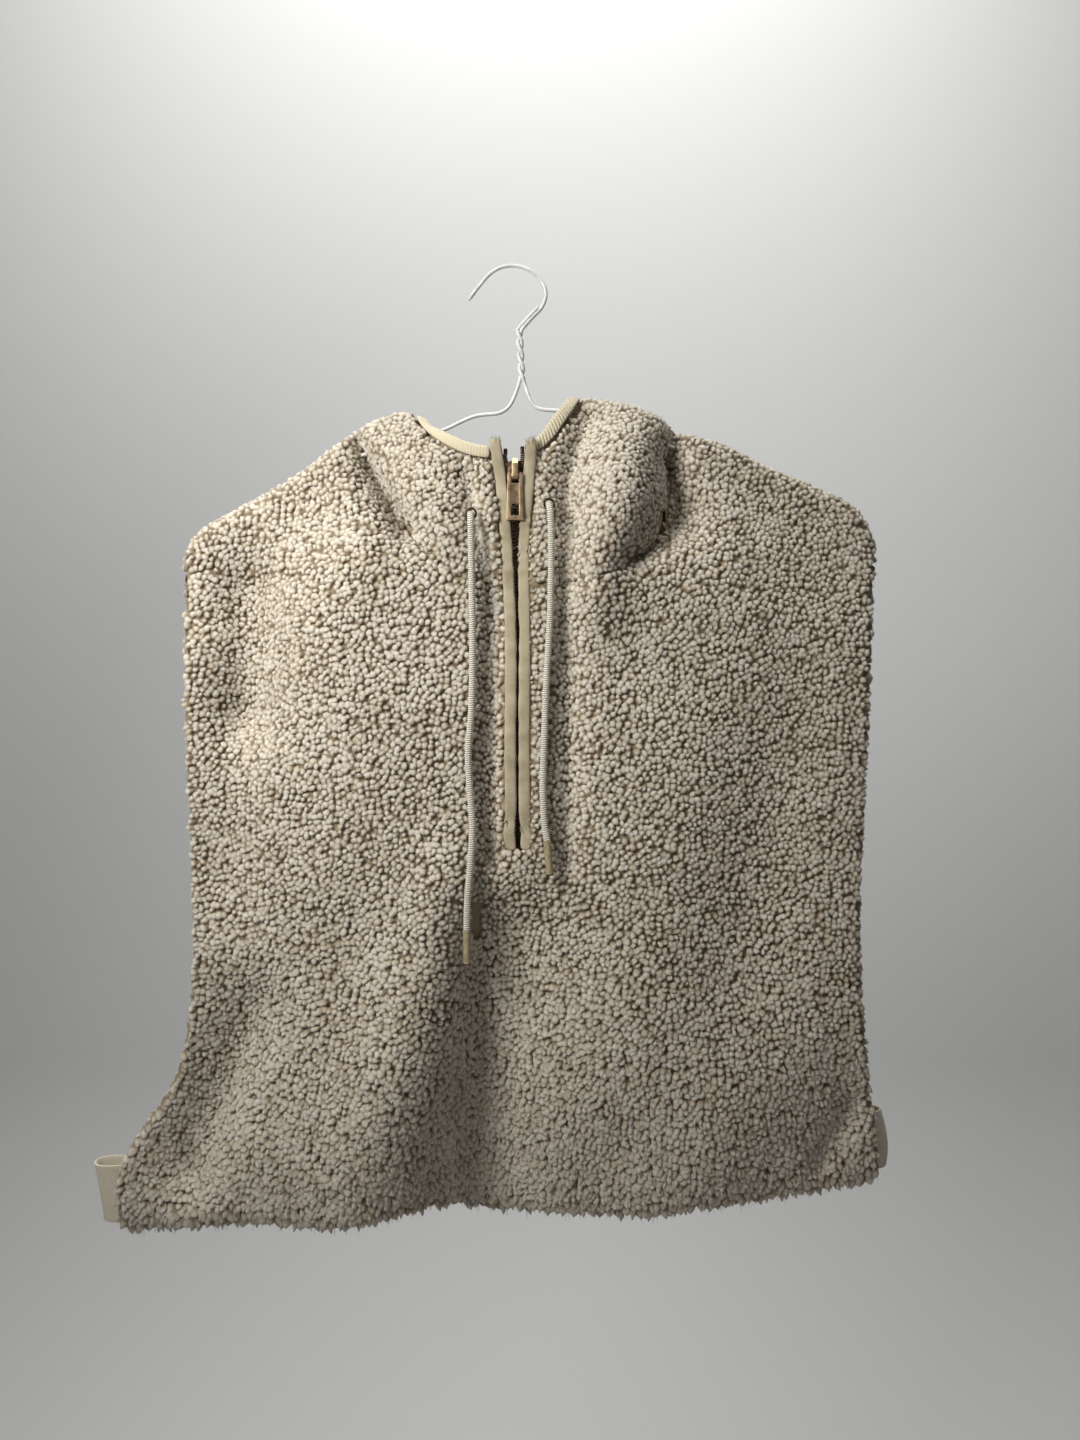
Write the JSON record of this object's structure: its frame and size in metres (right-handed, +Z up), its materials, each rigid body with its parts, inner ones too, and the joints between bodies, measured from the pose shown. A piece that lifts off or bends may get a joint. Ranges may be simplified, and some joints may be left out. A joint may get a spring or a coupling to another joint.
{
  "type": "teddy fleece vest on wire hanger",
  "caption": "Sleeveless half-zip teddy fleece vest with a funnel collar, drawcord and elastic side bands, hung from the shoulders on a coated wire hanger.",
  "frame": {"origin": "inside top of the hanger's hook, where a round peg bears", "axes": "+Z up, the front of the vest faces -Y, +X to the right seen from the front"},
  "size_m": [0.5403, 0.0838, 0.6467],
  "materials": {
    "fleece": "oatmeal curled sherpa pile, matt",
    "binding_tape": "ribbed cream tape, matt",
    "zip_facing": "folded khaki cream tape, matt",
    "zip_tape": "dark brown woven tape, matt",
    "dark_metal": "dark bronze lacquer, satin",
    "gold_metal": "antique gold, satin",
    "cord_yarn": "braided off-white cord, matt",
    "aglet": "tan, satin",
    "elastic": "woven beige elastic, matt",
    "wire_coating": "white plastic coating on steel wire, soft gloss"
  },
  "bodies": {
    "vest": {"front_panel": "fleece", "back_panel": "fleece", "collar": "fleece", "collar_binding": "binding_tape", "zip_facing_left": "zip_facing", "zip_facing_right": "zip_facing", "zip_tape_left": "zip_tape", "zip_tape_right": "zip_tape", "zip_chain": "dark_metal", "slider": "dark_metal", "zip_stop_left": "dark_metal", "zip_stop_right": "dark_metal", "eyelet_left": "dark_metal", "eyelet_right": "dark_metal", "drawcord_left": "cord_yarn", "drawcord_right": "cord_yarn", "aglet_left": "aglet", "aglet_right": "aglet", "side_band_left": "elastic", "side_band_right": "elastic", "hanger": "wire_coating"},
    "pull_tab": {"pull_tab": "gold_metal"}
  },
  "joints": [
    {"name": "pull_tab_hinge", "type": "hinge", "parent": "vest", "child": "pull_tab", "pos_m": [0.0015, -0.03466, -0.14933], "axis": [-1, 0, 0], "range_deg": [0, 125]}
  ]
}
